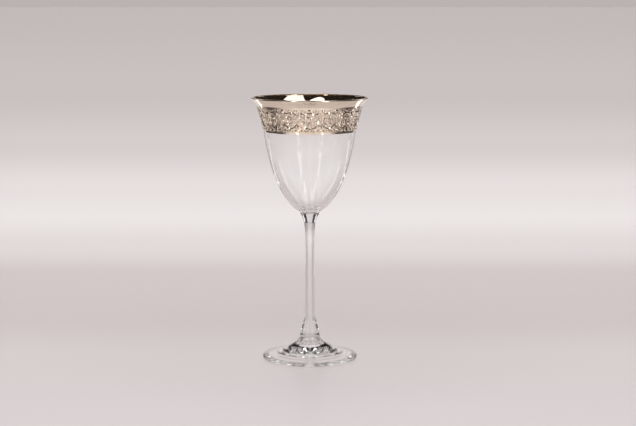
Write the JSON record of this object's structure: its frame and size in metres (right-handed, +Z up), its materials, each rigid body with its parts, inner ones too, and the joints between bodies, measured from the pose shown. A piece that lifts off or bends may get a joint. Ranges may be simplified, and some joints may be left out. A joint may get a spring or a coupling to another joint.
{
  "type": "white wine glass",
  "caption": "Clear white wine glass with a bell bowl, slim drawn stem and trumpet foot; the rim carries a platinum band over a raised scroll frieze.",
  "frame": {"origin": "centre of the foot's resting plane", "axes": "+Z up along the glass's axis of revolution; X and Y across it"},
  "size_m": [0.0904, 0.0904, 0.2037],
  "materials": {
    "clear_glass": "fire-polished clear glass",
    "polished_platinum": "bright fired platinum",
    "etched_platinum": "matt platinum over an etched ground",
    "burnished_platinum": "burnished platinum relief"
  },
  "bodies": {
    "root": {"bowl": "clear_glass", "stem": "clear_glass", "foot": "clear_glass", "lip_line": "polished_platinum", "plain_band": "polished_platinum", "frieze_ground": "etched_platinum", "frieze_relief": "burnished_platinum", "border_line": "polished_platinum"}
  },
  "joints": []
}
